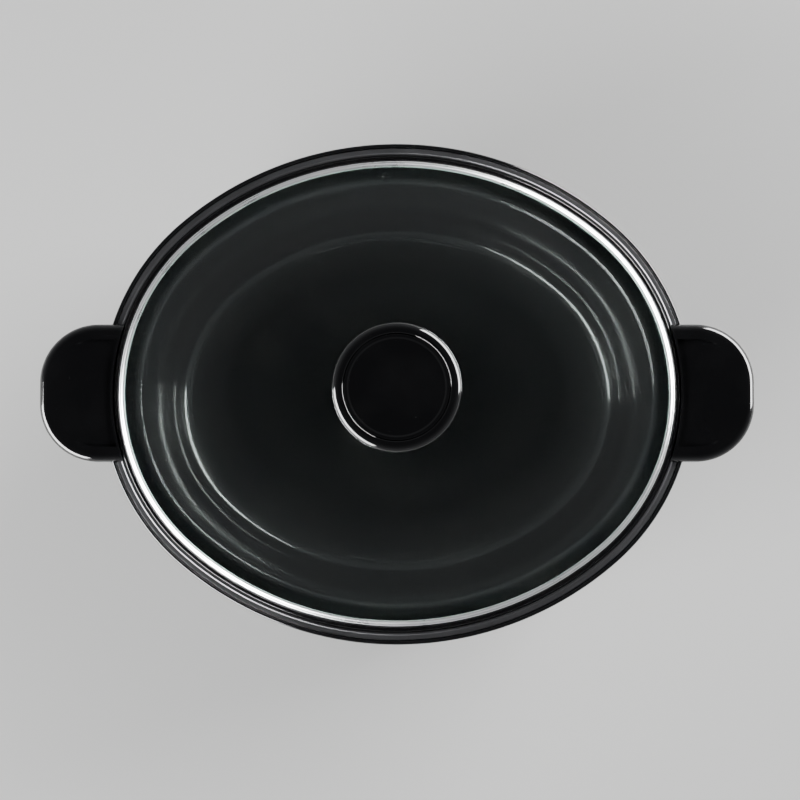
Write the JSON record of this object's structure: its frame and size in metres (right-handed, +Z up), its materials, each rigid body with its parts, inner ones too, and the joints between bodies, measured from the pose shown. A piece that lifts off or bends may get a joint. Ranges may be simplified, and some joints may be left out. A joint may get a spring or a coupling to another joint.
{
  "type": "slow cooker",
  "caption": "Oval slow cooker with a lift-out glazed crock, a domed glass lid with a round knob, side handles and a rotary heat control.",
  "frame": {"origin": "on the table under the middle of the base", "axes": "+X to the right handle, +Y to the back where the supply enters, +Z up; the control knob faces -Y"},
  "size_m": [0.379, 0.2664, 0.219],
  "materials": {
    "satin_rim": "satin dark grey lacquer on steel",
    "gloss_black_plastic": "high gloss moulded black",
    "black_glaze": "gloss black glaze over stoneware",
    "clear_glass": "clear tempered glass with a faint green tint",
    "polished_steel": "polished stainless channel",
    "body_paint": "gloss black stove enamel",
    "galvanised_steel": "plain coated steel",
    "screw_steel": "zinc plated",
    "base_plastic": "fine textured black",
    "foot_rubber": "soft matt black",
    "silicone": "dark silicone",
    "dial_chrome": "chromed trim",
    "pointer_white": "white line",
    "lamp_amber": "translucent amber",
    "switch_plastic": "heat-proof natural nylon",
    "heater_mica": "wound element in mica and glass cloth",
    "shield_aluminium": "bright foil",
    "brass": "plain brass",
    "wire_brown": "brown silicone sleeve",
    "wire_blue": "blue silicone sleeve",
    "wire_green": "green and yellow sleeve"
  },
  "bodies": {
    "base": {"rim_bezel": "satin_rim", "handle_left": "gloss_black_plastic", "handle_right": "gloss_black_plastic", "control_fascia": "gloss_black_plastic", "housing_front": "body_paint", "housing_back": "body_paint", "liner": "galvanised_steel", "switch_bracket": "galvanised_steel", "fuse_clip": "galvanised_steel", "earth_tab": "galvanised_steel", "handle_screws_left": "screw_steel", "handle_screws_right": "screw_steel", "pan_screws": "screw_steel", "fascia_screws": "screw_steel", "centre_stud": "screw_steel", "stud_nut": "screw_steel", "switch_nut": "screw_steel", "band_clamp": "screw_steel", "base_pan": "base_plastic", "foot_front_left": "foot_rubber", "foot_front_right": "foot_rubber", "foot_back_left": "foot_rubber", "foot_back_right": "foot_rubber", "supply_gland": "foot_rubber", "knob_ring": "dial_chrome", "lamp_lens": "lamp_amber", "rotary_switch": "switch_plastic", "lamp_body": "switch_plastic", "terminal_block": "switch_plastic", "heater_band": "heater_mica", "heat_shield": "shield_aluminium", "thermal_fuse": "shield_aluminium", "terminal_screws": "brass", "wire_live": "wire_brown", "wire_heat_low": "wire_brown", "wire_heat_high": "wire_brown", "wire_neutral": "wire_blue", "wire_fuse_link": "wire_blue", "wire_earth": "wire_green"},
    "crock": {"crock": "black_glaze"},
    "lid": {"lid_glass": "clear_glass", "lid_rim": "polished_steel", "lid_gasket": "silicone", "lid_knob": "gloss_black_plastic", "lid_knob_cap": "gloss_black_plastic", "lid_knob_insert": "brass", "lid_washer": "screw_steel", "lid_screw": "screw_steel"},
    "dial": {"control_knob": "gloss_black_plastic", "knob_pointer": "pointer_white", "switch_shaft": "screw_steel"}
  },
  "joints": [
    {"name": "crock_lift", "type": "slide", "parent": "base", "child": "crock", "axis": [0, 0, 1], "range_m": [0, 0.2]},
    {"name": "lid_lift", "type": "slide", "parent": "crock", "child": "lid", "axis": [0, 0, 1], "range_m": [0, 0.12]},
    {"name": "dial_turn", "type": "hinge", "parent": "base", "child": "dial", "pos_m": [0, -0.124, 0.038], "axis": [0, 1, 0], "range_deg": [0, 135]}
  ]
}
